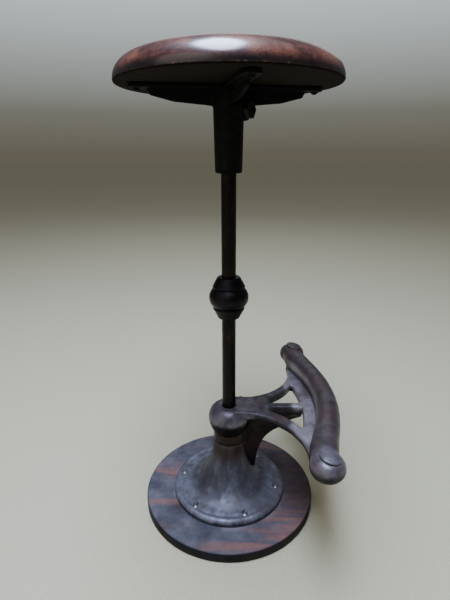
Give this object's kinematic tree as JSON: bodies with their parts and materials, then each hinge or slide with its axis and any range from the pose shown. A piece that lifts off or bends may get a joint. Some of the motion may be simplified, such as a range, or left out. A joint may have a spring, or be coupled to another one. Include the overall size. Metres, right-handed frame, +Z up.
{
  "type": "adjustable swivel stool",
  "caption": "Workshop stool: round wooden seat turning on a steel post that slides in a cast-iron bell foot, with a swinging curved foot rest on a round wooden base.",
  "frame": {"origin": "on the floor, at the axis of the post", "axes": "+Z up along the post, +X towards the middle of the foot rest's bar"},
  "size_m": [0.3331, 0.3934, 0.7171],
  "materials": {
    "base_wood": "worn satin",
    "foot_iron": "worn satin",
    "rest_iron": "worn satin",
    "socket_iron": "matt",
    "rod_steel": "browned",
    "bulb_steel": "browned satin",
    "screw_steel": "worn bright",
    "ball_steel": "polished",
    "washer_brass": "satin",
    "seat_wood": "worn gloss"
  },
  "bodies": {
    "base": {"base_board": "base_wood", "pedestal": "foot_iron", "flange_screws": "screw_steel", "thrust_washer": "washer_brass"},
    "foot_rest": {"foot_rest": "rest_iron", "foot_rest_button_near": "rest_iron", "foot_rest_button_far": "rest_iron"},
    "post": {"post": "rod_steel", "stop_pin": "screw_steel", "bulb": "bulb_steel", "bulb_pin": "rod_steel", "pivot_ball": "ball_steel"},
    "seat": {"seat_bracket": "socket_iron", "retaining_screw": "rod_steel", "lock_nut": "rod_steel", "seat_screws": "screw_steel", "seat_board": "seat_wood"},
    "clamp_pad": {"clamp_pad": "washer_brass"},
    "hub_screw": {"hub_screw": "screw_steel"}
  },
  "joints": [
    {"name": "foot_rest_swing", "type": "hinge", "parent": "base", "child": "foot_rest", "pos_m": [0, 0, 0.12], "axis": [0, 0, 1], "continuous": true},
    {"name": "post_height", "type": "slide", "parent": "foot_rest", "child": "post", "axis": [0, 0, 1], "range_m": [-0.022, 0.056]},
    {"name": "seat_swivel", "type": "hinge", "parent": "post", "child": "seat", "pos_m": [0, 0, 0.66554], "axis": [0, 0, 1], "continuous": true},
    {"name": "clamp_pad_slide", "type": "slide", "parent": "foot_rest", "child": "clamp_pad", "axis": [0.5592, 0.829, 0], "range_m": [0, 0.0032]},
    {"name": "hub_screw_turn", "type": "hinge", "parent": "clamp_pad", "child": "hub_screw", "pos_m": [0, 0, 0.171], "axis": [0.5592, 0.829, 0], "range_deg": [0, 570]}
  ],
  "couplings": [
    {"joint": "hub_screw_turn", "follows": "clamp_pad_slide", "rad_per_m": 2968.2}
  ]
}
